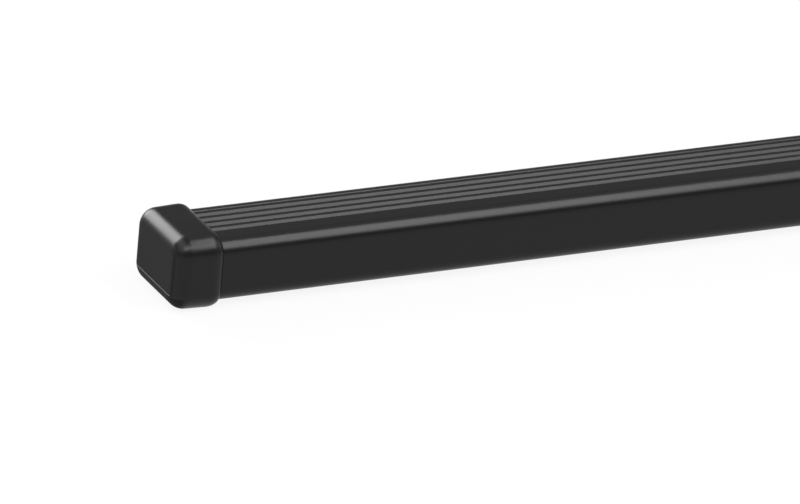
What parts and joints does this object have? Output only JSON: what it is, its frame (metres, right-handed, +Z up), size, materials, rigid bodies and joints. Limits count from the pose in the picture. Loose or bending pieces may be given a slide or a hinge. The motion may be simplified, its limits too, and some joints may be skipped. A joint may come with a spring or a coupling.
{
  "type": "roof rack crossbar",
  "caption": "Rectangular steel load bar for a vehicle roof rack, in a black plastic coating with a grooved top and moulded push-on end caps.",
  "frame": {"origin": "under the middle of the bar, level with the undersides of the end caps, which the bar lies on", "axes": "+X along the bar, +Y across it towards the side with the narrow groove, +Z up, out of the grooved top"},
  "size_m": [1.27, 0.0356, 0.0267],
  "materials": {
    "zinc_coated_steel": "dull zinc",
    "plastic_coating": "satin black extruded coating",
    "cap_plastic": "satin black moulding"
  },
  "bodies": {
    "root": {"steel_tube": "zinc_coated_steel", "plastic_jacket": "plastic_coating", "end_cap_left": "cap_plastic", "end_cap_right": "cap_plastic"}
  },
  "joints": []
}
